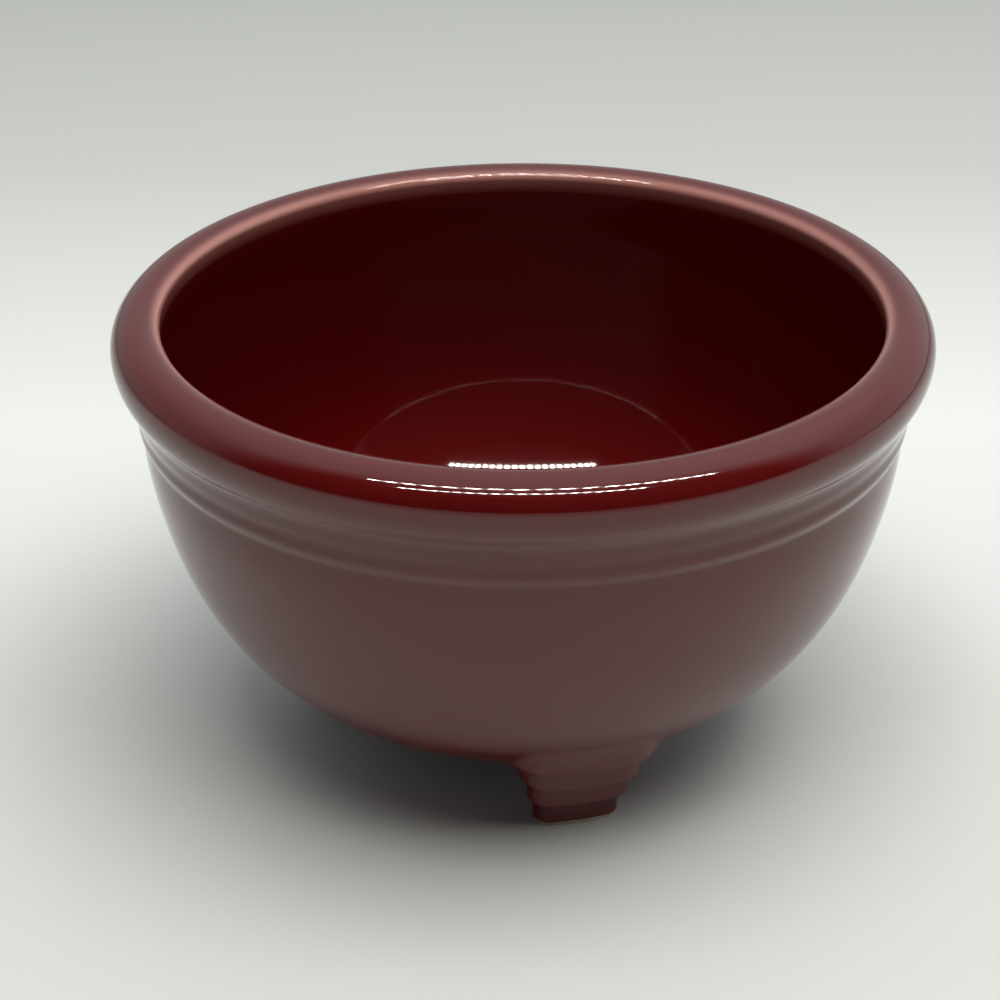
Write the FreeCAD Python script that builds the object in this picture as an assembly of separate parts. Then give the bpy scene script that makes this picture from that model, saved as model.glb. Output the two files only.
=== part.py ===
import FreeCAD, Part
import math
import os

# A thick glazed bowl on three stepped feet, built up as a potter builds one:
# a clay body, three moulded feet, the soft clay that lutes each foot on, and
# the coat of glaze that covers all of it but the soles of the feet.
# Millimetres, +Z up. The origin is on the bowl's axis, on the table, and
# foot_front points to -Y.
# Sizes are of the finished, glazed surface. The clay lies GLAZE_T inside it.

# Coats
GLAZE_T = 0.35            # glaze over the clay
SLIP_T = 0.4              # luting clay between a foot and the body

# Rim and lip
RIM_R = 54.0              # widest part of the lip
HEIGHT = 63.0             # table to the top of the lip
LIP_ROLL_R = 4.05         # round of the rolled lip
LIP_EDGE_R = 1.35         # tighter round where the lip turns into the bowl
LIP_EDGE_TURN = 105.0     # degrees up the roll where that tighter round begins
LIP_UNDER_TURN = -45.0    # degrees down the roll where it leaves for the groove

# Groove and two raised rings under the lip, as drops from the lip's top
WALL_R = 50.7             # outside of the wall where the rings end
GROOVE_DROP = 9.5
GROOVE_DEPTH = 1.2
UPPER_RING_DROP = 10.8
UPPER_RING_PROUD = 0.15
VALLEY_DROP = 12.1
VALLEY_DEPTH = 0.25
LOWER_RING_DROP = 13.5
LOWER_RING_PROUD = 0.35
WALL_TOP_DROP = 15.1

# Outside of the body below the rings
BASE_Z = 5.6              # underside of the body above the table
BASE_FLAT_R = 16.0        # flat part of the underside
WALL_SHARES = ((0.9597, 0.766), (0.8317, 0.4704), (0.6254, 0.2400), (0.3573, 0.0768))

# Inside of the body
FLOOR_Z = 10.2            # inside floor above the table
WELL_SHARES = ((0.979, 0.774), (0.943, 0.558), (0.858, 0.338), (0.724, 0.167),
               (0.547, 0.056), (0.292, 0.008))

# Feet: the pad is a piece of a ring, and each tier above it is one step wider
FOOT_COUNT = 3
FRONT_FOOT_AZIMUTH = -90.0
PAD_OUT_R = 31.0
PAD_IN_R = 25.5
PAD_HALF_ANGLE = 11.6     # degrees from a pad's middle to its flank
PAD_CORNER_R = 2.4
TIER_STEP = 0.9
TIER_EDGE_R = 0.6         # soft lower edge of each tier
PAD_TIER_H = 2.9
LOW_TIER_H = 2.6
MID_TIER_H = 3.5
PAD_EDGE_R = 0.25         # rubbed edge of the bare clay sole
BARE_BAND_H = 0.45        # glaze stops this far above the table
ROOT_FILLET_R = 2.0       # flare where a foot runs out into the body
BED_MARGIN = 0.15         # luting clay past the outline of the top tier
OVERRUN = 1.0             # cutting solids run past what they cut by this much

Z_AXIS = FreeCAD.Vector(0, 0, 1)
ORIGIN = FreeCAD.Vector(0, 0, 0)

# Heights above the table that the sizes give
ROLL_CENTRE_R = RIM_R - LIP_ROLL_R
ROLL_CENTRE_Z = HEIGHT - LIP_ROLL_R
WALL_TOP_Z = HEIGHT - WALL_TOP_DROP
LOW_TIER_Z = PAD_TIER_H
MID_TIER_Z = LOW_TIER_Z + LOW_TIER_H
TOP_TIER_Z = MID_TIER_Z + MID_TIER_H


def at(r, z):
    """A point of the half section, r from the axis and z above the table."""
    return FreeCAD.Vector(r, 0, z)


def along(degrees):
    """The unit direction of the half section at this angle above level."""
    angle = math.radians(degrees)
    return at(math.cos(angle), math.sin(angle))


def smooth_line(points, start, end):
    """One smooth curve through the points, leaving and arriving in these directions."""
    curve = Part.BSplineCurve()
    curve.interpolate(Points=points, InitialTangent=start, FinalTangent=end)
    return curve


def moved_in(curve, points, inset, side):
    """The same curve moved square to itself, to the right of travel for side 1."""
    params = [curve.parameter(point) for point in points]
    places = [params[0]]
    for first, second in zip(params[:-1], params[1:]):
        places += [(first + second) / 2, second]
    moved = []
    for place in places:
        way = curve.tangent(place)[0]
        moved.append(curve.value(place) + at(way.z, -way.x) * (inset * side))
    return smooth_line(moved, curve.tangent(places[0])[0], curve.tangent(places[-1])[0])


def lip_arc(inset):
    """The rolled lip, from its inner edge over the top to its underside."""
    centre = at(ROLL_CENTRE_R, ROLL_CENTRE_Z)
    middle_turn = (LIP_EDGE_TURN + LIP_UNDER_TURN) / 2
    turns = (LIP_EDGE_TURN, middle_turn, LIP_UNDER_TURN)
    return Part.Arc(*[centre + along(turn) * (LIP_ROLL_R - inset) for turn in turns])


def edge_centre():
    """Centre of the tight round, which lies inside the roll and touches it."""
    reach = LIP_ROLL_R - LIP_EDGE_R
    return at(ROLL_CENTRE_R, ROLL_CENTRE_Z) + along(LIP_EDGE_TURN) * reach


def edge_arc(inset):
    """The tight round from the inside wall up to the roll."""
    turns = (180, (180 + LIP_EDGE_TURN) / 2, LIP_EDGE_TURN)
    return Part.Arc(*[edge_centre() + along(turn) * (LIP_EDGE_R - inset) for turn in turns])


def ring_band(inset):
    """Groove and two raised rings, from the lip's underside to the wall."""
    start = at(ROLL_CENTRE_R, ROLL_CENTRE_Z) + along(LIP_UNDER_TURN) * LIP_ROLL_R
    points = [start,
              at(WALL_R - GROOVE_DEPTH, HEIGHT - GROOVE_DROP),
              at(WALL_R + UPPER_RING_PROUD, HEIGHT - UPPER_RING_DROP),
              at(WALL_R - VALLEY_DEPTH, HEIGHT - VALLEY_DROP),
              at(WALL_R + LOWER_RING_PROUD, HEIGHT - LOWER_RING_DROP),
              at(WALL_R, WALL_TOP_Z)]
    curve = smooth_line(points, along(LIP_UNDER_TURN - 90), along(-90))
    return moved_in(curve, points, inset, 1)


def outer_wall(inset):
    """Outside of the body, from the rings down to the flat of the base."""
    rise = WALL_TOP_Z - BASE_Z
    run = WALL_R - BASE_FLAT_R
    points = [at(WALL_R, WALL_TOP_Z)]
    points += [at(BASE_FLAT_R + run * across, BASE_Z + rise * up) for across, up in WALL_SHARES]
    points.append(at(BASE_FLAT_R, BASE_Z))
    curve = smooth_line(points, along(-90), along(180))
    return moved_in(curve, points, inset, 1)


def inner_wall(inset):
    """Inside of the body, from the lip's inner edge down to the middle of the floor."""
    mouth = edge_centre() + along(180) * LIP_EDGE_R
    rise = mouth.z - FLOOR_Z
    points = [mouth]
    points += [at(mouth.x * across, FLOOR_Z + rise * up) for across, up in WELL_SHARES]
    points.append(at(0, FLOOR_Z))
    curve = smooth_line(points, along(-90), along(180))
    return moved_in(curve, points, inset, -1)


def turned(edges):
    """The solid that a closed half section makes, with its seam away from the feet."""
    solid = Part.Face(Part.Wire(edges)).revolve(ORIGIN, Z_AXIS, 360)
    solid.rotate(ORIGIN, Z_AXIS, FRONT_FOOT_AZIMUTH + 180)
    return solid


def upper_edges(inset):
    """Half section from the wall top over the lip and down inside to the axis."""
    curves = (ring_band(inset), lip_arc(inset), edge_arc(inset), inner_wall(inset))
    return [curve.toShape() for curve in curves]


def body(inset):
    """The bowl itself, without feet, with its surface this far inside the finished one."""
    base_z = BASE_Z + inset
    base = Part.makeLine(at(0, base_z), at(BASE_FLAT_R, base_z))
    middle = Part.makeLine(at(0, FLOOR_Z - inset), at(0, base_z))
    return turned([base, outer_wall(inset).toShape()] + upper_edges(inset) + [middle])


def plug(inset):
    """The outside of the body below the rings, filled in, to set the feet on."""
    curve = outer_wall(inset)
    rim = curve.value(curve.FirstParameter)
    heel = curve.value(curve.LastParameter)
    base = Part.makeLine(heel, at(0, heel.z))
    middle = Part.makeLine(at(0, heel.z), at(0, rim.z))
    lid = Part.makeLine(at(0, rim.z), rim)
    return turned([curve.toShape(), base, middle, lid])


def tier_outline(grown):
    """A pad's outline made wider all round: a piece of a ring, with sharp corners."""
    half = math.radians(PAD_HALF_ANGLE)

    def ring_piece(radius):
        turn = half + math.asin(grown / radius)
        return [FreeCAD.Vector(radius * math.cos(angle), radius * math.sin(angle), 0)
                for angle in (-turn, 0, turn)]

    outside = ring_piece(PAD_OUT_R + grown)
    inside = ring_piece(PAD_IN_R - grown)
    flanks = [Part.makeLine(outside[0], inside[0]), Part.makeLine(inside[2], outside[2])]
    arcs = [Part.Arc(*outside).toShape(), Part.Arc(*inside).toShape()]
    return Part.Face(Part.Wire([arcs[0], flanks[0], arcs[1], flanks[1]]))


def tier(steps, inset, low, high, edge_r):
    """One tier: the pad's outline some steps wider, with round corners and a soft lower edge."""
    grown = steps * TIER_STEP - inset
    plan = tier_outline(grown)
    plan.translate(FreeCAD.Vector(0, 0, low))
    block = plan.extrude(FreeCAD.Vector(0, 0, high - low))
    middle = (low + high) / 2
    upright = [edge for edge in block.Edges if edge.BoundBox.ZMin < middle < edge.BoundBox.ZMax]
    block = block.makeFillet(PAD_CORNER_R + grown, upright)
    if edge_r > 0:
        rim = [edge for edge in block.Edges if edge.BoundBox.ZMax < middle]
        block = block.makeFillet(edge_r, rim)
    return block


def foot_block(inset):
    """All four tiers of a foot, with the top one running up into the body."""
    sole_edge = PAD_EDGE_R if inset > 0 else 0
    soft = TIER_EDGE_R - inset
    tiers = [tier(0, inset, 0, MID_TIER_Z, sole_edge),
             tier(1, inset, LOW_TIER_Z + inset, TOP_TIER_Z, soft),
             tier(2, inset, MID_TIER_Z + inset, WALL_TOP_Z, soft),
             tier(3, inset, TOP_TIER_Z + inset, WALL_TOP_Z, soft)]
    return tiers[0].multiFuse(tiers[1:])


def turned_to(shape, index):
    """A copy of a foot's shape, made at azimuth 0, turned to its own place."""
    copy = shape.copy()
    copy.rotate(ORIGIN, Z_AXIS, FRONT_FOOT_AZIMUTH + index * 360 / FOOT_COUNT)
    return copy


def root_edges(joined, base, core):
    """The edges where a foot's core comes out of the body."""
    found = []
    for edge in joined.Edges:
        spot = Part.Vertex(edge.valueAt((edge.FirstParameter + edge.LastParameter) / 2))
        on_body = base.Shells[0].distToShape(spot)[0] < GLAZE_T / 1000
        on_core = core.Shells[0].distToShape(spot)[0] < GLAZE_T / 1000
        if on_body and on_core:
            found.append(edge)
    return found


def footed(inset, indexes):
    """The filled outside with these feet on it, each flaring out into the body."""
    base = plug(inset)
    core = tier(2, inset, -OVERRUN, WALL_TOP_Z / 2, 0)
    block = foot_block(inset)
    shape = base
    for index in indexes:
        placed = turned_to(core, index)
        joined = shape.fuse(placed)
        shape = joined.makeFillet(ROOT_FILLET_R + inset, root_edges(joined, base, placed))
    ledge_z = MID_TIER_Z + TIER_EDGE_R + inset
    below = Part.makeCylinder(RIM_R, ledge_z + OVERRUN, at(0, -OVERRUN)).cut(base)
    return shape.cut(below).multiFuse([turned_to(block, index) for index in indexes])


def luting_bed(index):
    """The thin layer of clay that a foot is stuck on with."""
    bed = tier(3, GLAZE_T - BED_MARGIN, 0, WALL_TOP_Z / 2, 0)
    layer = plug(GLAZE_T - SLIP_T).cut(plug(GLAZE_T))
    return layer.common(turned_to(bed, index))


def foot(index):
    """One clay foot, flared where it meets its bed of luting clay."""
    return footed(GLAZE_T, [index]).cut(plug(GLAZE_T - SLIP_T))


def glaze_coat():
    """Everything between the clay and the finished surface, but for the soles."""
    every = range(FOOT_COUNT)
    bare = Part.makeCylinder(RIM_R, BARE_BAND_H + OVERRUN, at(0, -OVERRUN))
    outside = footed(0, every).cut(footed(GLAZE_T, every)).cut(bare)
    finished = upper_edges(0)
    clay = upper_edges(GLAZE_T)
    floor = Part.makeLine(at(0, FLOOR_Z), at(0, FLOOR_Z - GLAZE_T))
    step = Part.makeLine(at(WALL_R - GLAZE_T, WALL_TOP_Z), at(WALL_R, WALL_TOP_Z))
    return outside.fuse(turned(finished + [floor] + clay[::-1] + [step]))


def make_parts():
    """Every node of the bowl by name."""
    parts = {"bowl_body": body(GLAZE_T), "glaze_coat": glaze_coat()}
    for index, name in enumerate(("front", "back_right", "back_left")):
        parts["foot_" + name] = foot(index)
        parts["luting_" + name] = luting_bed(index)
    return parts


def main():
    os.makedirs("parts", exist_ok=True)
    for name, shape in sorted(make_parts().items()):
        shape.exportStep("parts/" + name + ".step")
        print(name, "solids", len(shape.Solids), "valid", shape.isValid(),
              "volume", round(shape.Volume, 2), "z", round(shape.BoundBox.ZMin, 3),
              round(shape.BoundBox.ZMax, 3))


main()
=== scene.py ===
# %% [markdown]
# # A dark red glazed bowl on three stepped feet
#
# This lesson dresses a small footed bowl of pale clay under a thick, very glossy dark red glaze.
# The bowl's clay comes from a fixed CAD frame. The glaze is what the eye sees, so it is modelled
# here as one fine skin: thrown by a spin, and then drawn out over each of the three feet.

# %% Load the fixed frame
import math

import bmesh
import bpy
import numpy as np
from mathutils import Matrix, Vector


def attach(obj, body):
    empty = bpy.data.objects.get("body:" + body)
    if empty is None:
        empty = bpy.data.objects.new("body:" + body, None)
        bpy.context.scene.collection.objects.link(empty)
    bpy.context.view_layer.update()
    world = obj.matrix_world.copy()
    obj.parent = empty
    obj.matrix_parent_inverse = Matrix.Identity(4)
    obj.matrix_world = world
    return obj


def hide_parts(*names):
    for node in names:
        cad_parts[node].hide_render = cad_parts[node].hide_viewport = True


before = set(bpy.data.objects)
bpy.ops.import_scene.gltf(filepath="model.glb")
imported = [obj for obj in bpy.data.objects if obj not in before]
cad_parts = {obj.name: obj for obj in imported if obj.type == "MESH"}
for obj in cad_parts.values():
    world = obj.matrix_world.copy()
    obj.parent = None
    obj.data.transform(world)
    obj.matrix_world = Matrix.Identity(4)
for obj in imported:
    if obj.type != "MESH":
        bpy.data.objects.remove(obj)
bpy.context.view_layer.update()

# %% [markdown]
# The bowl's sizes are kept in millimetres, as a potter would note them, and turned to metres where
# Blender needs them. They measure the finished, glazed surface unless a comment says otherwise.

# %% Small helpers
MM = 0.001


def metres(*values):
    """Millimetres as a vector in metres."""
    return Vector(values) * MM


def start_fresh():
    """Leave edit mode and select nothing, so that an operator acts only on what comes next."""
    if bpy.context.object and bpy.context.object.mode != "OBJECT":
        bpy.ops.object.mode_set(mode="OBJECT")
    bpy.ops.object.select_all(action="DESELECT")


# %% [markdown]
# ## The camera
#
# The photograph was taken 29 cm to one side of the bowl's axis and 19 cm above the table, looking
# down 28 degrees, with a lens of about 86 mm on a 36 mm sensor. The camera aims at the bowl's
# middle and half a degree to its left, so the bowl fills the frame and lies a little to the right.
# The front foot is right of the middle too, so the camera stands 14 degrees round to its left.

# %% Camera at the photograph's angle
LENS = 86.4
SENSOR = 36.0
CAMERA_OFF = 290.682     # mm from the bowl's axis, over the table
CAMERA_UP = 188.391      # mm above the table
CAMERA_PITCH = 0.4915    # radians that it looks down
CAMERA_PAN = 0.01056     # radians that it turns to the left
CAMERA_ROLL = -0.0045    # radians that it leans
STAND_ROUND = -14.2      # degrees round the bowl from straight in front
CLIP_NEAR, CLIP_FAR = 0.01, 50.0     # metres


def camera_axes():
    """The camera's right, up and forward directions for a viewer who stands straight in front."""
    cos_p, sin_p = math.cos(CAMERA_PITCH), math.sin(CAMERA_PITCH)
    turn = np.array([[math.cos(CAMERA_PAN), -math.sin(CAMERA_PAN), 0],
                     [math.sin(CAMERA_PAN), math.cos(CAMERA_PAN), 0],
                     [0, 0, 1]])
    right, up, forward = turn @ [1, 0, 0], turn @ [0, sin_p, cos_p], turn @ [0, cos_p, -sin_p]
    cos_r, sin_r = math.cos(CAMERA_ROLL), math.sin(CAMERA_ROLL)
    return cos_r * right + sin_r * up, cos_r * up - sin_r * right, forward


def stand(vector, degrees=STAND_ROUND):
    """A vector of the viewer straight in front, turned to where the viewer really stands."""
    angle = math.radians(degrees)
    x, y, z = vector
    return Vector((x * math.cos(angle) - y * math.sin(angle),
                   x * math.sin(angle) + y * math.cos(angle), z))


def make_camera():
    data = bpy.data.cameras.new("bowl_camera")
    camera = bpy.data.objects.new("bowl_camera", data)
    bpy.context.scene.collection.objects.link(camera)
    data.lens, data.sensor_width = LENS, SENSOR
    data.clip_start, data.clip_end = CLIP_NEAR, CLIP_FAR
    right, up, forward = (stand(axis) for axis in camera_axes())
    matrix = camera.matrix_world.copy()
    for row in range(3):
        matrix[row][0], matrix[row][1], matrix[row][2] = right[row], up[row], -forward[row]
        matrix[row][3] = stand((0, -CAMERA_OFF, CAMERA_UP))[row] * MM
    camera.matrix_world = matrix
    bpy.context.scene.camera = camera
    return camera


bowl_camera = make_camera()
print("camera at", [round(value, 3) for value in bowl_camera.matrix_world.translation])

# %% [markdown]
# ## The half section
#
# A thrown bowl is the same all round, so one half section tells its whole form: from the middle of
# the underside out over the wall, the two raised rings, the hollow and the rolled lip, and down the
# inside to the middle of the floor. Curves that a hand draws in one pull are one smooth spline
# through a few measured points. The lip is three arcs, because a finger rolls it.

# %% A smooth line through measured points
def smooth_line(points, start, end, count):
    """count + 1 places along one smooth curve that leaves and arrives in these directions."""
    knots = np.array(points, float)
    span = np.hypot(*np.diff(knots, axis=0).T)
    system = np.eye(len(knots))
    known = np.zeros((len(knots), 2))
    known[0], known[-1] = start, end
    for i in range(1, len(knots) - 1):
        before, after = span[i - 1], span[i]
        system[i, i - 1:i + 2] = after, 2 * (before + after), before
        known[i] = 3 * (after / before * (knots[i] - knots[i - 1])
                        + before / after * (knots[i + 1] - knots[i]))
    slopes = np.linalg.solve(system, known)
    ends = np.concatenate([[0], np.cumsum(span)])
    places = []
    for place in np.linspace(0, ends[-1], count + 1):
        i = min(np.searchsorted(ends, place, side="right") - 1, len(span) - 1)
        t = (place - ends[i]) / span[i]
        places.append((1 + 2 * t) * (1 - t) ** 2 * knots[i] + t * (1 - t) ** 2 * span[i] * slopes[i]
                      + t * t * (3 - 2 * t) * knots[i + 1] + t * t * (t - 1) * span[i] * slopes[i + 1])
    return np.array(places)


def direction(degrees):
    """The unit direction of the half section at this angle above level."""
    return np.array([math.cos(math.radians(degrees)), math.sin(math.radians(degrees))])


def round_line(centre, radius, first, last, count):
    """count + 1 places on an arc between two angles, in degrees."""
    return np.array([centre + radius * direction(turn) for turn in np.linspace(first, last, count + 1)])


# %% The bowl's own sizes
RIM_R, HEIGHT = 54.0, 63.0
LIP_ROLL_R, LIP_EDGE_R = 4.05, 1.35
LIP_EDGE_TURN = 116.0
LIP_LOW_R, LIP_LOW_TURN = 6.0, -36.0
WALL_R, WALL_TOP_Z = 50.62, 47.9
RING_POINTS = ((51.9, 53.8), (51.5, 52.2), (51.2, 50.9), (51.17, 49.5))
BASE_R, BASE_Z, FLOOR_Z = 16.0, 5.6, 10.2
WALL_POINTS = ((49.26, 38.0), (44.85, 25.5), (37.7, 15.75), (28.4, 8.85),
               (25.7, 7.3), (24.0, 6.45), (22.5, 5.84), (21.0, 5.64))
# The wall's last four points keep the skin just outside the bowl's own clay.
WELL_SHARES = ((0.979, 0.774), (0.943, 0.558), (0.858, 0.338), (0.724, 0.167),
               (0.547, 0.056), (0.292, 0.008))
BASE_STEP = 4.0
WALL_STEPS, RING_STEPS, BELLY_STEPS = 58, 38, 12
LIP_STEPS, BRINK_STEPS, WELL_STEPS = 28, 12, 46


def wall_line(count):
    """The outside of the wall, from the flat of the underside up to the rings."""
    knots = [(WALL_R, WALL_TOP_Z), *WALL_POINTS, (BASE_R, BASE_Z)]
    return smooth_line(knots, direction(-90), direction(180), count)[::-1]


def half_section():
    """The finished surface as places (radius, height), from under the middle to the floor's middle."""
    roll = np.array([RIM_R - LIP_ROLL_R, HEIGHT - LIP_ROLL_R])
    edge = roll + (LIP_ROLL_R - LIP_EDGE_R) * direction(LIP_EDGE_TURN)
    low = np.array([RIM_R - LIP_LOW_R, HEIGHT - LIP_ROLL_R])
    under = low + LIP_LOW_R * direction(LIP_LOW_TURN)
    mouth = edge + LIP_EDGE_R * direction(180)
    top = np.array([WALL_R, WALL_TOP_Z])
    well = [mouth] + [(mouth[0] * across, FLOOR_Z + (mouth[1] - FLOOR_Z) * up)
                      for across, up in WELL_SHARES] + [(0, FLOOR_Z)]
    base = [(radius, BASE_Z) for radius in np.arange(0, BASE_R, BASE_STEP)]
    wall = wall_line(WALL_STEPS)
    lean = direction(LIP_LOW_TURN - 90)
    rings = smooth_line([under, *RING_POINTS, top], lean, direction(-90), RING_STEPS)[::-1]
    belly = round_line(low, LIP_LOW_R, LIP_LOW_TURN, 0, BELLY_STEPS)
    lip = round_line(roll, LIP_ROLL_R, 0, LIP_EDGE_TURN, LIP_STEPS)
    brink = round_line(edge, LIP_EDGE_R, LIP_EDGE_TURN, 180, BRINK_STEPS)
    inside = smooth_line(well, direction(-90), direction(180), WELL_STEPS)
    return np.concatenate([base, wall[:-1], rings[:-1], belly[:-1], lip[:-1], brink[:-1], inside])


section = half_section()
print("half section:", len(section), "places, widest", round(section[:, 0].max(), 2), "mm")

# %% [markdown]
# ## Throwing the bowl
#
# One vertex starts in the middle of the underside. It is extruded from place to place along the half
# section, as a line, and the line is spun once round the axis, as the wheel would. The spin could
# also be a Screw modifier, but the operator leaves plain faces that the feet can be cut into.

# %% Extrude the line and spin it
SPIN_STEPS = 288
SEED_SIZE = 0.001        # metres; the plane that is merged to the first vertex
MERGE_GAP = 1e-6         # metres


def throw_bowl():
    start_fresh()
    first = section[0]
    bpy.ops.mesh.primitive_plane_add(size=SEED_SIZE, location=metres(first[0], 0, first[1]))
    bowl = bpy.context.object
    bowl.name = bowl.data.name = "oxblood_glaze_skin"
    bpy.ops.object.transform_apply(location=True, rotation=True, scale=True)
    bpy.ops.object.mode_set(mode="EDIT")
    bpy.ops.mesh.select_all(action="SELECT")
    bpy.ops.mesh.merge(type="CENTER")
    for here, there in zip(section[:-1], section[1:]):
        step = metres(there[0] - here[0], 0, there[1] - here[1])
        bpy.ops.mesh.extrude_region_move(TRANSFORM_OT_translate={"value": step})
    bpy.ops.mesh.select_all(action="SELECT")
    bpy.ops.mesh.spin(steps=SPIN_STEPS, angle=2 * math.pi, center=(0, 0, 0), axis=(0, 0, 1))
    bpy.ops.mesh.select_all(action="SELECT")
    bpy.ops.mesh.remove_doubles(threshold=MERGE_GAP)
    bpy.ops.mesh.normals_make_consistent(inside=False)
    bpy.ops.object.mode_set(mode="OBJECT")
    return bowl


glaze = throw_bowl()
print("thrown bowl:", len(glaze.data.vertices), "vertices", len(glaze.data.polygons), "faces")

# %% [markdown]
# ## The stepped feet
#
# Each foot is a pad, cut from a ring, with three tiers above it that each stand further out, and the
# top one flares into the round wall. Under glaze there is no seam between foot and bowl, so the
# foot is drawn out of the bowl's own skin: a window is opened in the underside and its edge is
# extruded inwards and down, ring after ring, to the sole. Every ring is laid on one simple law: how
# far a point is from the pad's outline, how far it is from the bowl, and a fillet where they meet.

# %% How far a point is from the foot and from the bowl
FOOT_AZIMUTHS = (-90.0, 30.0, 150.0)
PAD_OUT_R, PAD_IN_R = 31.0, 25.5
PAD_HALF_TURN = math.radians(11.6)
PAD_CORNER_R = 2.4
OUT_STEP, SIDE_STEP = 2.2, 0.85   # each tier over the one below, outwards and to its other sides
TIER_EDGE_R = 0.5
TIER_LEDGES = (4.7, 8.7, 12.7)    # undersides of the three upper tiers
NOOK_R = 0.3                      # glaze softens the inner corner of each step
ROOT_R = 2.5                      # flare where the foot runs out into the bowl
PAD_MID_R = (PAD_OUT_R + PAD_IN_R) / 2
PAD_HALF_DEPTH = (PAD_OUT_R - PAD_IN_R) / 2

DENSE_STEPS = 2000
dense_wall = wall_line(DENSE_STEPS)
wall_rise = np.gradient(dense_wall[:, 1], dense_wall[:, 0])


def corner_distance(across, below, radius):
    """Distance to an outside corner with this round, from the distances to its two sides."""
    a, b = across + radius, below + radius
    return np.hypot(np.maximum(a, 0), np.maximum(b, 0)) + np.minimum(np.maximum(a, b), 0) - radius


def join(first, second, radius):
    """Distance to two shapes joined with a fillet of this radius."""
    return np.maximum(radius, np.minimum(first, second)) - np.hypot(
        np.maximum(radius - first, 0), np.maximum(radius - second, 0))


def outline_distance(x, y, steps):
    """Distance outwards from a tier's outline, in the plan of a foot that lies along +X."""
    side = steps * SIDE_STEP
    outer, inner = PAD_OUT_R + steps * OUT_STEP, PAD_IN_R - side
    radial = np.abs(np.hypot(x, y) - (outer + inner) / 2) - (outer - inner) / 2
    flank = np.abs(y) * math.cos(PAD_HALF_TURN) - x * math.sin(PAD_HALF_TURN) - side
    return corner_distance(radial, flank, PAD_CORNER_R + side)


def skin_distance(x, y, z):
    """Distance outwards from the bowl's underside with a foot on it."""
    radius = np.hypot(x, y)
    slope = np.interp(radius, dense_wall[:, 0], wall_rise, left=0)
    bowl_side = (np.interp(radius, dense_wall[:, 0], dense_wall[:, 1]) - z) / np.hypot(1, slope)
    foot_side = outline_distance(x, y, 0)
    for tier, ledge in enumerate(TIER_LEDGES, start=1):
        tier_side = corner_distance(outline_distance(x, y, tier), ledge - z, TIER_EDGE_R)
        foot_side = join(foot_side, tier_side, NOOK_R)
    return join(foot_side, bowl_side, ROOT_R)


# %% Rings of a foot, from the window in to the sole
WINDOW_HALF_TURN = 27.5           # degrees, a whole number of spin steps
WINDOW_IN_R, WINDOW_OUT_R = 17.6, 40.6
EYE_Z = 20.0                      # height of the points that the rings are sighted from
EYE_HALF_TURN = PAD_HALF_TURN - PAD_HALF_DEPTH / PAD_MID_R
EYE_REACH, PLAN_REACH = 40.0, 20.0    # mm within which the skin and an outline are looked for
HALVINGS = 32
GLAZE_END_Z = 0.7                 # the glaze stops here, over the bare sole
GLAZE_T = 0.36
BRIM_R = 0.3                      # height of the glaze's round end
FLARE_RINGS, FLARE_SIGHTS = 15, 60
KNEE = math.radians(6)            # room in which rings of buried tiers are squeezed together
LEAST_TURN = 0.0007               # radians between the sight lines of two rings
RISER_SHARES = (0.2, 0.4, 0.6, 0.8, 1)
NOOK_MARKS = ((0.05, 0.11), (0.12, 0.04), (NOOK_R, 0))     # mm out from a riser, mm under its ledge
LEDGE_SHARES = (0.35, 0.6)
EDGE_TURNS = (-82, -66, -50, -34, -18, 0)                  # degrees round a tier's lower edge
# Round the glaze's end and up inside it: mm out from the pad's outline, mm above the end.
BRIM_MARKS = ((-0.03, 0.12), (-0.1, 0.04), (-0.2, 0), (-GLAZE_T, 0.02), (-GLAZE_T, 0.75))


def stair_marks():
    """Marks (tier steps, mm further out, height) on the stair that the rings are laid through."""
    marks = [(0, 0, GLAZE_END_Z + BRIM_R)]
    floors = (GLAZE_END_Z, *TIER_LEDGES)
    for tier, (floor, ledge) in enumerate(zip(floors, TIER_LEDGES)):
        low = floor + (TIER_EDGE_R if tier else BRIM_R)
        marks += [(tier, 0, low + (ledge - NOOK_R - low) * share) for share in RISER_SHARES]
        marks += [(tier, out, ledge - under) for out, under in NOOK_MARKS]
        marks += [(tier + share, 0, ledge) for share in LEDGE_SHARES]
        for turn in EDGE_TURNS:
            across, up = TIER_EDGE_R * direction(turn)
            marks.append((tier + 1, across - TIER_EDGE_R, ledge + TIER_EDGE_R + up))
    return marks


def in_order(angles, highest):
    """Sight angles of the marks, sorted, kept apart and kept below the window's edge."""
    knee = highest - KNEE
    over = np.maximum(angles - knee, 0)
    angles = np.sort(np.minimum(angles, knee) + KNEE * (1 - np.exp(-over / KNEE)), axis=0)
    for lower, upper in zip(angles[:-1], angles[1:]):
        np.maximum(upper, lower + LEAST_TURN, out=upper)
    return angles


def root_of(law, low, high):
    """Where a law that grows from below zero to above it is zero, for whole arrays at once."""
    for _ in range(HALVINGS):
        middle = (low + high) / 2
        inside = law(middle) < 0
        low, high = np.where(inside, middle, low), np.where(inside, high, middle)
    return (low + high) / 2


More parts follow.
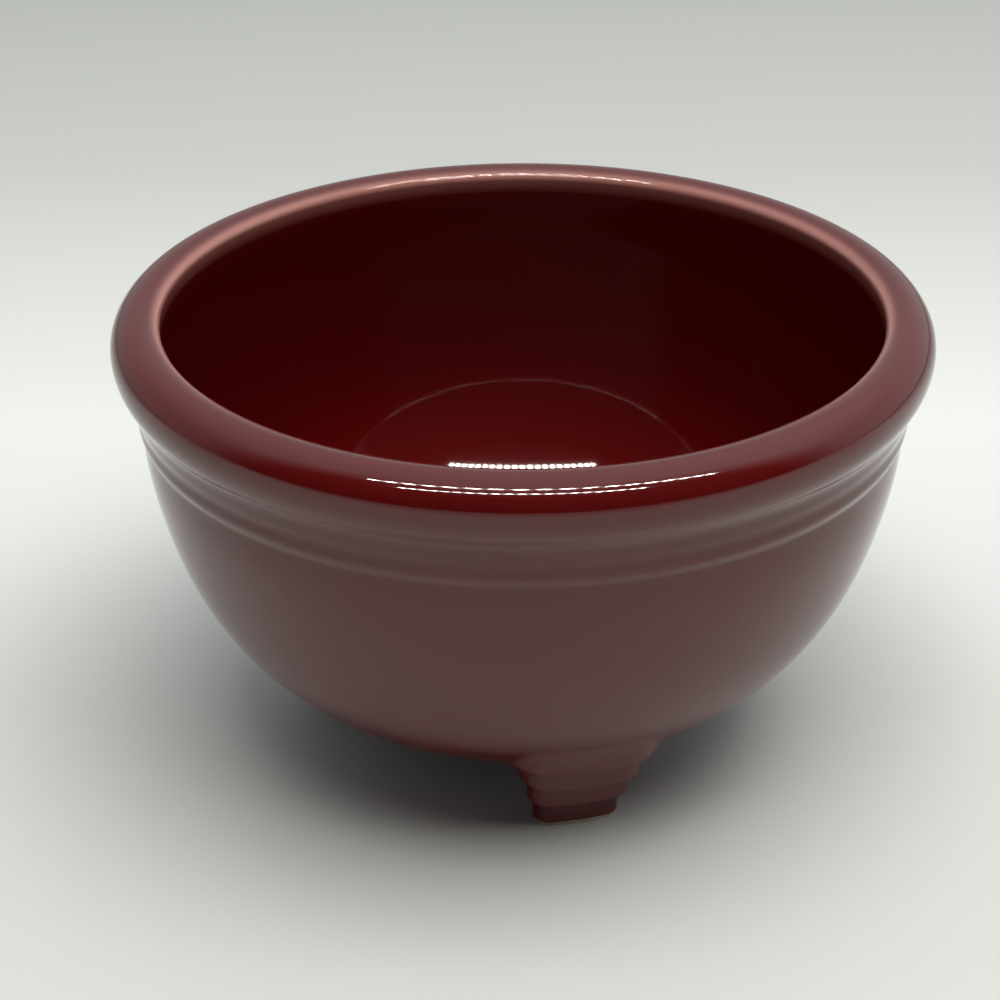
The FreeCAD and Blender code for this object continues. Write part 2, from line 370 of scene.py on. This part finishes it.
def foot_rings(edge):
    """Rings of places from the window's edge to the sole, for a foot along +X. edge is n x 3, in mm."""
    turn = np.clip(np.arctan2(edge[:, 1], edge[:, 0]), -EYE_HALF_TURN, EYE_HALF_TURN)
    eye = PAD_MID_R * np.stack([np.cos(turn), np.sin(turn)], 1)
    way = edge[:, :2] - eye
    reach = np.linalg.norm(way, axis=1)
    way = way / reach[:, None]
    near = np.zeros_like(reach)

    def plan(out):
        return eye[:, 0] + out * way[:, 0], eye[:, 1] + out * way[:, 1]

    def sighted(angle):
        """Where the line of sight at this angle above level leaves the skin."""
        rise, run = np.sin(angle), np.cos(angle)
        far = root_of(lambda d: skin_distance(*plan(d * run), EYE_Z + d * rise), near, near + EYE_REACH)
        return np.stack([*plan(far * run), EYE_Z + far * rise], 1)

    def out_at(steps, further):
        """How far along each line a tier's outline, grown by this much more, is crossed."""
        return root_of(lambda d: outline_distance(*plan(d), steps) - further, near, near + PLAN_REACH)

    edge_angle = np.arctan2(edge[:, 2] - EYE_Z, reach)
    steps = in_order(np.array([np.arctan2(height - EYE_Z, out_at(tiers, further))
                               for tiers, further, height in stair_marks()]), edge_angle - KNEE)
    flare = np.array([sighted(steps[-1] + (edge_angle - steps[-1]) * share)
                      for share in np.linspace(0, 1, FLARE_SIGHTS)])
    strides = np.linalg.norm(np.diff(flare, axis=0), axis=2)
    gone = np.concatenate([near[None], np.cumsum(strides, axis=0)])
    rings = []
    for share in np.linspace(1, 0, FLARE_RINGS + 1)[1:-1]:
        rings.append(np.array([[np.interp(gone[-1, i] * share, gone[:, i], flare[:, i, axis])
                                for axis in range(3)] for i in range(len(edge))]))
    rings += [sighted(angle) for angle in steps[::-1]]
    for distance, rise in BRIM_MARKS:
        x, y = plan(out_at(0, distance))
        rings.append(np.stack([x, y, 0 * x + GLAZE_END_Z + rise], 1))
    return rings


# %% Open each window and draw the foot out of it
def turned(places, degrees):
    """Places turned round the bowl's axis."""
    angle = math.radians(degrees)
    cos_a, sin_a = math.cos(angle), math.sin(angle)
    x, y, z = np.asarray(places).T
    return np.stack([x * cos_a - y * sin_a, x * sin_a + y * cos_a, z], 1)


def edited_mesh():
    return bpy.context.edit_object.data


def select_rim():
    """Select only the open edge of the mesh that is being edited."""
    bpy.ops.mesh.select_all(action="DESELECT")
    bpy.ops.mesh.select_non_manifold(extend=False, use_wire=False, use_boundary=True,
                                     use_multi_face=False, use_non_contiguous=False, use_verts=False)


def open_window(mesh, azimuth):
    """Delete the faces of the underside where a foot goes, and select the edge that is left."""
    for face in mesh.faces:
        x, y, z = turned([face.calc_center_median() / MM], -azimuth)[0]
        under = face.normal.z < 0 and z < WALL_TOP_Z
        wide = abs(math.degrees(math.atan2(y, x))) < WINDOW_HALF_TURN
        face.select = bool(under and wide and x > 0 and WINDOW_IN_R < math.hypot(x, y) < WINDOW_OUT_R)
    bmesh.update_edit_mesh(edited_mesh())
    bpy.ops.mesh.delete(type="FACE")
    bpy.ops.mesh.select_mode(type="EDGE")
    select_rim()


def lay_rings(edge, rings, azimuth):
    """Extrude the selected edge once for each ring, and lay its vertices on the ring's places."""
    order = {tuple(place): index for index, place in enumerate(edge)}
    for ring in rings:
        bpy.ops.mesh.extrude_region_move(TRANSFORM_OT_translate={"value": (0, 0, 0)})
        mesh = bmesh.from_edit_mesh(edited_mesh())
        places = turned(ring, azimuth) * MM
        moved = {}
        for vertex in [vertex for vertex in mesh.verts if vertex.select]:
            index = order[tuple(vertex.co)]
            vertex.co = places[index]
            moved[tuple(vertex.co)] = index
        order = moved
        bmesh.update_edit_mesh(edited_mesh())
    bpy.ops.mesh.edge_face_add()


def draw_foot(azimuth):
    open_window(bmesh.from_edit_mesh(edited_mesh()), azimuth)
    mesh = bmesh.from_edit_mesh(edited_mesh())
    edge = [vertex.co.copy() for vertex in mesh.verts if vertex.select]
    rings = foot_rings(turned([place / MM for place in edge], -azimuth))
    lay_rings(edge, rings, azimuth)
    return len(edge), len(rings)


def draw_feet(bowl):
    start_fresh()
    bpy.context.view_layer.objects.active = bowl
    bowl.select_set(True)
    bpy.ops.object.mode_set(mode="EDIT")
    for azimuth in FOOT_AZIMUTHS:
        bpy.ops.mesh.select_mode(type="FACE")
        print("foot at", azimuth, "places round and rings:", draw_foot(azimuth))
    bpy.ops.mesh.select_mode(type="VERT")
    bpy.ops.mesh.select_all(action="SELECT")
    bpy.ops.mesh.normals_make_consistent(inside=False)
    bpy.ops.object.mode_set(mode="OBJECT")
    bpy.ops.object.shade_smooth()


draw_feet(glaze)
print("with feet:", len(glaze.data.vertices), "vertices,",
      sum(len(face.vertices) - 2 for face in glaze.data.polygons), "triangles")

# %% [markdown]
# ## The clay of the feet
#
# Under the glaze each foot is a block of pressed clay with the same tiers. Only its bare sole shows,
# as a thin cream line on the table. It starts as a circle, is laid on the pad's outline, and is
# extruded tier by tier until it meets the luting clay under the bowl. The block could also be a
# thinned copy of the glaze, but rings laid by the same law keep it plain and closed.

# %% Model the clay feet
CLAY_INSET = 0.35                 # clay under the glaze, a hair outside the glaze's own inner edge
SOLE_EDGE_R = 0.25
SOLE_EDGE_SHARE = 0.3             # place of the middle ring on the sole's round edge
ROOF_GAP = 0.05
CLAY_SIDES = 80
TOP_SHARES = (0.7, 0.4, 0.12)     # rings that close the foot's top
CREASE = math.radians(35)         # edges sharper than this stay sharp


def roof(x, y):
    """Height of a foot's top over a place in the plan: a hair under the bowl's own curve."""
    radius = np.hypot(x, y)
    slope = np.interp(radius, dense_wall[:, 0], wall_rise)
    return np.interp(radius, dense_wall[:, 0], dense_wall[:, 1]) - ROOF_GAP * np.hypot(1, slope)


def clay_outline(steps, inset):
    """The plan of a tier's clay, as seen from the pad's middle."""
    turn = np.linspace(0, 2 * math.pi, CLAY_SIDES, endpoint=False)
    across, along = np.cos(turn), np.sin(turn)
    near = np.zeros_like(turn)
    out = root_of(lambda d: outline_distance(PAD_MID_R + d * across, d * along, steps) + inset,
                  near, near + PLAN_REACH)
    return PAD_MID_R + out * across, out * along


def clay_rings():
    """Rings of a foot's clay from the sole to the roof, for a foot that lies along +X."""
    bevel = SOLE_EDGE_SHARE * SOLE_EDGE_R
    levels = [(0, CLAY_INSET + SOLE_EDGE_R, 0), (0, CLAY_INSET + bevel, bevel), (0, CLAY_INSET, SOLE_EDGE_R)]
    for tier, ledge in enumerate(TIER_LEDGES):
        levels += [(tier, CLAY_INSET, ledge + CLAY_INSET), (tier + 1, CLAY_INSET, ledge + CLAY_INSET)]
    levels.append((len(TIER_LEDGES), CLAY_INSET, HEIGHT))
    rings = []
    for steps, inset, level in levels:
        x, y = clay_outline(steps, inset)
        if rings:
            buried = level >= roof(x, y)
            x, y = np.where(buried, rings[-1][:, 0], x), np.where(buried, rings[-1][:, 1], y)
        rings.append(np.stack([x, y, np.minimum(level, roof(x, y))], 1))
    top = rings[-1]
    for share in TOP_SHARES:
        x, y = PAD_MID_R + (top[:, 0] - PAD_MID_R) * share, top[:, 1] * share
        rings.append(np.stack([x, y, roof(x, y)], 1))
    return rings


def make_clay_foot(name, azimuth):
    start_fresh()
    bpy.ops.mesh.primitive_circle_add(vertices=CLAY_SIDES, radius=PAD_HALF_DEPTH * MM, fill_type="NOTHING")
    foot = bpy.context.object
    foot.name = foot.data.name = name
    rings = clay_rings()
    for vertex, place in zip(foot.data.vertices, turned(rings[0], azimuth) * MM):
        vertex.co = place
    bpy.ops.object.mode_set(mode="EDIT")
    bpy.ops.mesh.select_mode(type="VERT")
    bpy.ops.mesh.select_all(action="SELECT")
    mesh = bmesh.from_edit_mesh(edited_mesh())
    lay_rings([vertex.co.copy() for vertex in mesh.verts], rings[1:], azimuth)
    select_rim()
    bpy.ops.mesh.edge_face_add()
    bpy.ops.mesh.select_all(action="SELECT")
    bpy.ops.mesh.remove_doubles(threshold=MERGE_GAP)
    bpy.ops.mesh.normals_make_consistent(inside=False)
    bpy.ops.object.mode_set(mode="OBJECT")
    bpy.ops.object.shade_smooth_by_angle(angle=CREASE)
    return foot


FOOT_NODES = ("foot_front", "foot_back_right", "foot_back_left")
clay_feet = [make_clay_foot(f"clay_{node}", azimuth) for node, azimuth in zip(FOOT_NODES, FOOT_AZIMUTHS)]
for foot in clay_feet:
    check = bmesh.new()
    check.from_mesh(foot.data)
    open_edges = sum(not edge.is_manifold for edge in check.edges)
    print(foot.name, len(check.faces), "faces,", open_edges, "open edges,",
          round(check.calc_volume() / MM ** 3, 1), "mm3")
    check.free()

# %% [markdown]
# ## How thick the glaze lies, and where shade and a highlight are painted
#
# Glaze runs off sharp edges and gathers in hollows before it sets. So it is thinner and a lighter
# red on the lip and on the steps of the feet. Inside the bowl the colour is painted darker as shade,
# darkest just under the lip and redder towards the floor. Each vertex gets three numbers: how much
# the skin bulges there, how far down inside the bowl it lies, and how near it is to the lip's inner
# brink, where a pale line is painted: partly the glaze breaking thin, partly a painted highlight.

# %% Measure bulge, depth and brink at every vertex
# Where the pale line on the lip's inner brink is painted: partly glaze broken thin, partly a painted
# highlight.
BRINK_R, BRINK_Z, BRINK_WIDTH = 47.75, 62.1, 0.8
BULGE_ROUNDS = 4
LEAST_LENGTH, LEAST_R = 1e-4, 1e-3    # mm; they keep a division from zero
FLAT_ENOUGH = 0.5                     # a normal this steep belongs to the floor
FLOOR_SLACK = 0.5                     # mm


def spread(values, ends, rounds):
    """Values averaged with their neighbours' a few times."""
    count = np.bincount(ends.ravel(), minlength=len(values)) + 1
    for _ in range(rounds):
        total = values.copy()
        np.add.at(total, ends[:, 0], values[ends[:, 1]])
        np.add.at(total, ends[:, 1], values[ends[:, 0]])
        values = total / count
    return values


def measure_glaze(bowl):
    mesh = bowl.data
    size = len(mesh.vertices)
    place, normal = np.empty(size * 3), np.empty(size * 3)
    mesh.vertices.foreach_get("co", place)
    mesh.vertices.foreach_get("normal", normal)
    place, normal = place.reshape(-1, 3) / MM, normal.reshape(-1, 3)
    ends = np.empty(len(mesh.edges) * 2, int)
    mesh.edges.foreach_get("vertices", ends)
    ends = ends.reshape(-1, 2)
    bulge, weight = np.zeros(size), np.zeros(size)
    for near, far in ((0, 1), (1, 0)):
        a, b = ends[:, near], ends[:, far]
        gap = place[b] - place[a]
        length = np.maximum(np.linalg.norm(gap, axis=1), LEAST_LENGTH)
        np.add.at(bulge, a, -2 * (gap * normal[a]).sum(1) / length)
        np.add.at(weight, a, length)
    bulge = spread(bulge / np.maximum(weight, LEAST_LENGTH), ends, BULGE_ROUNDS)
    radius = np.hypot(place[:, 0], place[:, 1])
    outward = (place[:, :2] * normal[:, :2]).sum(1) / np.maximum(radius, LEAST_R)
    inside = (radius < RIM_R - LIP_ROLL_R) & (place[:, 2] > FLOOR_Z - FLOOR_SLACK)
    inside &= (outward < 0) | (normal[:, 2] > FLAT_ENOUGH)
    # The depth sets where the inside's painted shade lies.
    depth = np.where(inside, np.clip((HEIGHT - place[:, 2]) / (HEIGHT - FLOOR_Z), 0, 1), 0)
    # Nearness to the brink, where a pale line is painted: partly glaze broken thin, partly a painted
    # highlight.
    brink = np.exp(-((radius - BRINK_R) ** 2 + (place[:, 2] - BRINK_Z) ** 2) / BRINK_WIDTH ** 2)
    for name, values in (("glaze_bulge", bulge), ("glaze_depth", depth), ("glaze_brink_break_and_highlight", brink)):
        layer = mesh.attributes.new(name, "FLOAT", "POINT")
        layer.data.foreach_set("value", values.astype(np.float32))
    return bulge, depth


bulge, depth = measure_glaze(glaze)
print("bulge per mm from", round(bulge.min(), 2), "to", round(bulge.max(), 2),
      "and depth up to", round(depth.max(), 2))

# %% [markdown]
# ## Finishes
#
# One function turns the sRGB hex values, as a colour card gives them, to the linear values that the
# shader works in. One small function adds a node with its settings and links.

# %% Colour and node helpers
def linear(code):
    """An sRGB hex value as linear RGBA."""
    parts = [int(code[i:i + 2], 16) / 255 for i in (0, 2, 4)]
    return (*[part / 12.92 if part <= 0.04045 else ((part + 0.055) / 1.055) ** 2.4 for part in parts], 1)


def add_node(tree, kind, settings=None, **links):
    """A node of this kind. Settings are its properties, the stops (place, linear colour) of its ramp,
    or values of sockets by name or number. Links join its sockets to those of other nodes: _ stands
    for a space in a socket's name, and in_2 for socket number 2."""
    node = tree.nodes.new(kind)
    for name, value in (settings or {}).items():
        if name == "stops":
            for index, (place, colour) in enumerate(value):
                stop = node.color_ramp.elements[index] if index < 2 else node.color_ramp.elements.new(place)
                stop.position, stop.color = place, colour
        elif isinstance(name, str) and hasattr(node, name):
            setattr(node, name, value)
        else:
            node.inputs[name].default_value = value
    for name, source in links.items():
        socket = int(name[len("in_"):]) if name.startswith("in_") else name.replace("_", " ")
        tree.links.new(node.inputs[socket], source)
    return node


def hex_stops(*stops):
    """Stops (place, sRGB hex value) with their colours made linear."""
    return [(place, linear(code)) for place, code in stops]


def pattern_scale(size):
    """The scale of a noise whose features are this many mm across."""
    return 1 / (size * MM)


def new_material(name):
    material = bpy.data.materials.new(name)
    material.use_nodes = True
    material.node_tree.nodes.clear()
    return material, material.node_tree


# %% [markdown]
# ### Oxblood glaze
#
# Oxblood is a thick coat of deep red glass, fired glossy over pale clay. The eye sees a red that is
# nearly black just under the lip on the inside, painted there as shade, a lighter one where the coat
# runs thin, and sharp mirror images of the room on top, because molten glass sets smooth. Very
# slight waves in the coat bend those images a little. A pale line on the inner brink is partly
# glaze broken thin and partly a painted highlight.

# %% Material: glossy oxblood glaze
CLOUD_SIZE, WAVE_SIZE = 14.3, 9.1     # mm; uneven coat, and waves in the gloss
CLOUD_DEPTH = 0.22                    # how much the clouds change the thinness
THIN_BULGE = 0.75                     # bulge per mm at which the coat is at its thinnest
WITHIN_DEPTH = 0.11                   # depth by which the colour is all the inside's
WAVE_HEIGHT = 0.000012                # metres
OUTSIDE_REDS = hex_stops((0.0, "520A0A"), (0.35, "5A0C0B"), (0.7, "600E0D"), (1.0, "66110F"))
# The inside's reds hold painted shade: darkest just under the lip, redder towards the floor.
INSIDE_PAINTED_SHADE_REDS = hex_stops((0.1, "3C0304"), (0.55, "460505"), (1.0, "640A0B"))
# Pale line on the inner brink: partly glaze broken thin over the clay, partly a painted highlight.
BROKEN_GLAZE_AND_HIGHLIGHT = linear("B07C74")


def make_oxblood_glaze():
    material, tree = new_material("oxblood_glaze_fired_gloss")
    spot = add_node(tree, "ShaderNodeTexCoord").outputs["Object"]
    bulge_at, depth_at, brink_break_and_highlight_at = (
        add_node(tree, "ShaderNodeAttribute", {"attribute_name": name}).outputs["Fac"]
        for name in ("glaze_bulge", "glaze_depth", "glaze_brink_break_and_highlight"))
    cloud = add_node(tree, "ShaderNodeTexNoise",
                     {"Scale": pattern_scale(CLOUD_SIZE), "Detail": 3, "Roughness": 0.55}, Vector=spot)
    thin = add_node(tree, "ShaderNodeMapRange", {"From Min": 0.0, "From Max": THIN_BULGE}, Value=bulge_at)
    uneven = add_node(tree, "ShaderNodeMath",
                      {"operation": "MULTIPLY_ADD", 1: CLOUD_DEPTH, 2: -CLOUD_DEPTH / 2},
                      in_0=cloud.outputs["Fac"])
    thinness = add_node(tree, "ShaderNodeMath", {"operation": "ADD"},
                        in_0=thin.outputs["Result"], in_1=uneven.outputs["Value"])
    outside = add_node(tree, "ShaderNodeValToRGB", {"stops": OUTSIDE_REDS}, Fac=thinness.outputs["Value"])
    # Painted shade inside the bowl, by depth.
    inside = add_node(tree, "ShaderNodeValToRGB", {"stops": INSIDE_PAINTED_SHADE_REDS}, Fac=depth_at)
    within = add_node(tree, "ShaderNodeMapRange", {"From Min": 0.0, "From Max": WITHIN_DEPTH}, Value=depth_at)
    colour = add_node(tree, "ShaderNodeMix", {"data_type": "RGBA"}, Factor=within.outputs["Result"],
                      in_6=outside.outputs["Color"], in_7=inside.outputs["Color"])
    # Painted pale line on the brink: partly broken glaze, partly a painted highlight.
    broken_and_highlight = add_node(tree, "ShaderNodeMix", {"data_type": "RGBA", 7: BROKEN_GLAZE_AND_HIGHLIGHT},
                      Factor=brink_break_and_highlight_at, in_6=colour.outputs[2])
    waves = add_node(tree, "ShaderNodeTexNoise",
                     {"Scale": pattern_scale(WAVE_SIZE), "Detail": 1, "Roughness": 0.4}, Vector=spot)
    bump = add_node(tree, "ShaderNodeBump", {"Strength": 1.0, "Distance": WAVE_HEIGHT},
                    Height=waves.outputs["Fac"])
    shader = add_node(tree, "ShaderNodeBsdfPrincipled", {"Roughness": 0.05, "IOR": 1.56},
                      Base_Color=broken_and_highlight.outputs[2], Normal=bump.outputs["Normal"])
    add_node(tree, "ShaderNodeOutputMaterial", Surface=shader.outputs["BSDF"])
    return material


# %% [markdown]
# ### Bare fired clay
#
# Where the glaze is wiped off the soles, the clay body shows: cream, dry and finely grained, a
# little darker where the kiln shelf rubbed it. It throws no clear reflection at all.

# %% Material: bare fired clay
GRAIN_SIZE, STAIN_SIZE = 0.455, 3.85  # mm; grog in the clay, and rubbed places
GRAIN_HEIGHT = 0.00003                # metres
DARK_AT, PALE_AT = 0.12, 0.38


def make_bare_clay(name, pale, dark):
    material, tree = new_material(name)
    spot = add_node(tree, "ShaderNodeTexCoord").outputs["Object"]
    grain = add_node(tree, "ShaderNodeTexNoise",
                     {"Scale": pattern_scale(GRAIN_SIZE), "Detail": 3, "Roughness": 0.6}, Vector=spot)
    stain = add_node(tree, "ShaderNodeTexNoise",
                     {"Scale": pattern_scale(STAIN_SIZE), "Detail": 2}, Vector=spot)
    mixed = add_node(tree, "ShaderNodeMath", {"operation": "MULTIPLY"},
                     in_0=grain.outputs["Fac"], in_1=stain.outputs["Fac"])
    colour = add_node(tree, "ShaderNodeValToRGB", {"stops": hex_stops((DARK_AT, dark), (PALE_AT, pale))},
                      Fac=mixed.outputs["Value"])
    bump = add_node(tree, "ShaderNodeBump", {"Strength": 0.6, "Distance": GRAIN_HEIGHT},
                    Height=grain.outputs["Fac"])
    shader = add_node(tree, "ShaderNodeBsdfPrincipled", {"Roughness": 0.85, "IOR": 1.5},
                      Base_Color=colour.outputs["Color"], Normal=bump.outputs["Normal"])
    add_node(tree, "ShaderNodeOutputMaterial", Surface=shader.outputs["BSDF"])
    return material


# %% Dress every piece
def dress(piece, material):
    piece.data.materials.clear()
    piece.data.materials.append(material)


oxblood_glaze = make_oxblood_glaze()
bare_clay = make_bare_clay("stoneware_clay_bare_fired", "D6CAB2", "B5A58A")
luting_clay = make_bare_clay("luting_clay_fired", "C8BBA2", "A8997F")
dress(glaze, oxblood_glaze)
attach(glaze, "root")
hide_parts("glaze_coat")
for foot, node_name in zip(clay_feet, FOOT_NODES):
    dress(foot, bare_clay)
    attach(foot, "root")
    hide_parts(node_name)
for name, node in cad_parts.items():
    if name != "glaze_coat" and name not in FOOT_NODES:
        dress(node, luting_clay if name.startswith("luting") else bare_clay)
print("dressed", len(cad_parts), "nodes")

# %% [markdown]
# ## Table and light
#
# The bowl stands on a plain, pale table that runs far back. Its colour is painted paler in the
# middle and darker near the viewer and far off: painted light and shade. Two rows of small lamps
# hang above it, whose images run as beads along the lip and in the well. Lamps that small and
# bright would also throw hard shadow edges and burn out the table, so they show in mirror images
# only. One large soft lamp, which no mirror image shows, throws the soft shadow, and lights the
# bowl together with the pale room.

# %% The pale table
TABLE_R = 3.5                         # metres
TABLE_SIDES = 96
# Between these depths the table's painted light and shade run.
TABLE_NEAR, TABLE_FAR = -0.4, 0.6     # metres, between which its colours run
TABLE_PAINTED_FALLOFF = hex_stops((0.0, "AEB2B1"), (0.08, "B2B6B5"), (0.15, "CED4D3"), (0.4, "CED4D3"),
                          (0.49, "E0E6E6"), (0.62, "C3C9C7"), (1.0, "9EA4A2"))
FACE_VIEWER = (0, 0, math.radians(-STAND_ROUND))


def make_table():
    start_fresh()
    bpy.ops.mesh.primitive_circle_add(vertices=TABLE_SIDES, radius=TABLE_R, fill_type="NGON",
                                      location=(0, 0, 0))
    table = bpy.context.object
    table.name = "pale_table"
    material, tree = new_material("pale_matt_table_painted_falloff")
    spot = add_node(tree, "ShaderNodeTexCoord").outputs["Object"]
    aimed = add_node(tree, "ShaderNodeMapping", {"Rotation": FACE_VIEWER}, Vector=spot)
    parts = add_node(tree, "ShaderNodeSeparateXYZ", Vector=aimed.outputs["Vector"])
    # Painted light and shade: paler in the middle, darker near the viewer and far back.
    deep = add_node(tree, "ShaderNodeMapRange", {"From Min": TABLE_NEAR, "From Max": TABLE_FAR},
                    Value=parts.outputs["Y"])
    colour = add_node(tree, "ShaderNodeValToRGB", {"stops": TABLE_PAINTED_FALLOFF}, Fac=deep.outputs["Result"])
    shader = add_node(tree, "ShaderNodeBsdfPrincipled", {"Roughness": 0.6, "IOR": 1.45},
                      Base_Color=colour.outputs["Color"])
    add_node(tree, "ShaderNodeOutputMaterial", Surface=shader.outputs["BSDF"])
    dress(table, material)


make_table()


# %% Two rows of small lamps and a soft one
LAMP_COLOUR = linear("FFF8F0")[:3]


def hang_lamp(name, place, size, radiance):
    """A rectangular lamp that shines straight down, placed in mm for a viewer straight in front."""
    data = bpy.data.lights.new(name, "AREA")
    data.shape = "RECTANGLE"
    data.size, data.size_y = size[0] * MM, size[1] * MM
    data.energy = radiance * math.pi * data.size * data.size_y
    data.color = LAMP_COLOUR
    lamp = bpy.data.objects.new(name, data)
    lamp.location = stand(place) * MM
    lamp.rotation_euler = (0, 0, math.radians(STAND_ROUND))
    bpy.context.scene.collection.objects.link(lamp)
    return lamp


LAMP_UP = 1146.0
LAMP_ROWS = (   # depth, middle, gap between lamps, number of them, size, radiance
    (-309.0, 110.0, 78.0, 18, (46.0, 30.0), 170.0),
    (-648.0, 0.0, 56.0, 21, (30.0, 40.0), 130.0))
SOFT_PLACE, SOFT_SIZE, SOFT_RADIANCE = (180.0, -300.0, 1100.0), (1000.0, 800.0), 5.2

for row, (depth_mm, middle, gap, number, size, radiance) in enumerate(LAMP_ROWS):
    for index in range(number):
        across = middle + (index - (number - 1) / 2) * gap
        bead = hang_lamp(f"bead_{row}_{index}", (across, depth_mm, LAMP_UP), size, radiance)
        bead.visible_diffuse = False

soft_lamp = hang_lamp("soft_lamp", SOFT_PLACE, SOFT_SIZE, SOFT_RADIANCE)
soft_lamp.visible_glossy = False
print("lamps:", sum(row[3] for row in LAMP_ROWS), "beads and a soft one")

# %% [markdown]
# The room around is pale, as a photographer's tent is, and grows brighter upwards and to the right.
# The front, where the viewer stands, is dim up to where the ceiling begins to glow under the
# lamps. A glossy glaze shows all of this: one brightness all round would make it look like plastic.

# %% The pale room
def grey_stops(*stops):
    """Stops (place, brightness) as greys."""
    return [(place, (level, level, level, 1)) for place, level in stops]


FRONT_LEVELS = grey_stops((0.0, 0.02), (0.7, 0.04), (0.88, 0.14), (0.95, 0.6), (1.0, 1.0))
ROOM_LEVELS = grey_stops((0.0, 0.5), (0.5, 0.58), (0.77, 0.88), (1.0, 1.0))
LEFT_SHARE, RIGHT_SHARE = 0.68, 1.3
FRONT_FROM, FRONT_TO = 0.15, -0.35    # depth of a direction at which the front begins and is full
BACKDROP = linear("C6CBC9")


def make_room():
    world = bpy.data.worlds.new("pale_room")
    bpy.context.scene.world = world
    world.use_nodes = True
    tree = world.node_tree
    tree.nodes.clear()
    way = add_node(tree, "ShaderNodeTexCoord").outputs["Generated"]
    aimed = add_node(tree, "ShaderNodeMapping", {"Rotation": FACE_VIEWER}, Vector=way)
    parts = add_node(tree, "ShaderNodeSeparateXYZ", Vector=aimed.outputs["Vector"])
    ahead = add_node(tree, "ShaderNodeMapRange",
                     {"From Min": FRONT_FROM, "From Max": FRONT_TO, "interpolation_type": "SMOOTHSTEP"},
                     Value=parts.outputs["Y"])
    dim = add_node(tree, "ShaderNodeValToRGB", {"stops": FRONT_LEVELS}, Fac=parts.outputs["Z"])
    around = add_node(tree, "ShaderNodeValToRGB", {"stops": ROOM_LEVELS}, Fac=parts.outputs["Z"])
    level = add_node(tree, "ShaderNodeMix", {"data_type": "RGBA"}, Factor=ahead.outputs["Result"],
                     in_6=around.outputs["Color"], in_7=dim.outputs["Color"])
    side = add_node(tree, "ShaderNodeMapRange",
                    {"From Min": -1.0, "From Max": 1.0, "To Min": LEFT_SHARE, "To Max": RIGHT_SHARE},
                    Value=parts.outputs["X"])
    lit = add_node(tree, "ShaderNodeBackground", Color=level.outputs[2], Strength=side.outputs["Result"])
    seen = add_node(tree, "ShaderNodeLightPath").outputs["Is Camera Ray"]
    pale = add_node(tree, "ShaderNodeBackground", {"Color": BACKDROP, "Strength": 1.0})
    mix = add_node(tree, "ShaderNodeMixShader", Fac=seen,
                   in_1=lit.outputs["Background"], in_2=pale.outputs["Background"])
    add_node(tree, "ShaderNodeOutputWorld", Surface=mix.outputs["Shader"])


make_room()
bpy.context.scene.view_settings.view_transform = "Standard"
